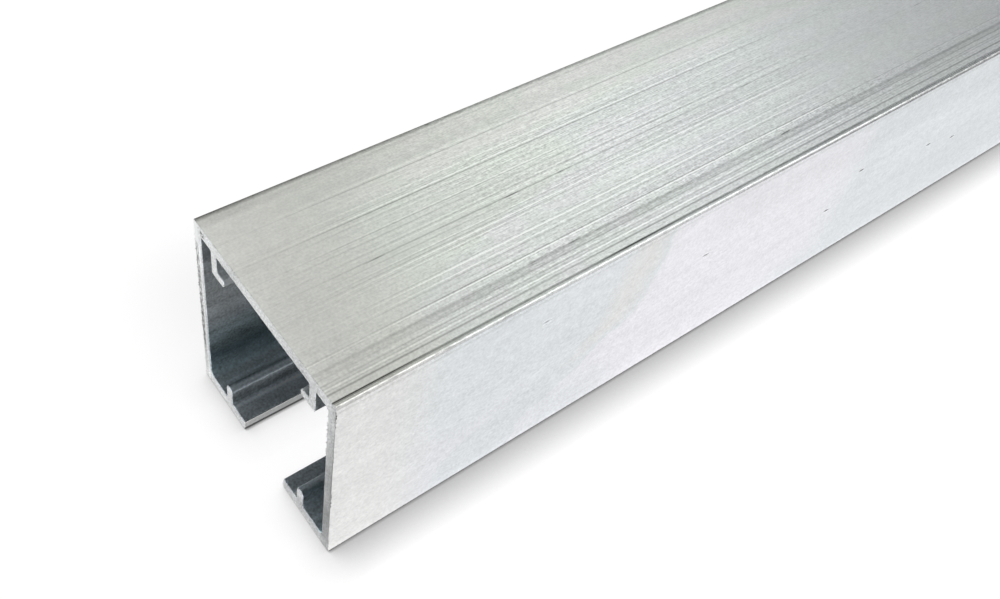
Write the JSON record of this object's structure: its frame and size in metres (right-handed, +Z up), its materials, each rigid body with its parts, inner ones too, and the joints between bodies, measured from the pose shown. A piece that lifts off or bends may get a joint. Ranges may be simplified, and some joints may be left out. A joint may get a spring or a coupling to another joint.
{
  "type": "aluminium extrusion profile",
  "caption": "Square slotted C-section aluminium extrusion with upright wheel rails on its flanges and inward hooks under its web, used as a top-hung sliding-door track.",
  "frame": {"origin": "under the middle of the track, at the level the two flanges rest on", "axes": "+X along the length, +Y across the section, +Z up from the slotted side to the closed web"},
  "size_m": [1, 0.04, 0.04],
  "materials": {
    "mill_aluminium": "mill finish, as extruded, with fine die lines along the length and sawn ends"
  },
  "bodies": {
    "root": {"track_profile": "mill_aluminium"}
  },
  "joints": []
}
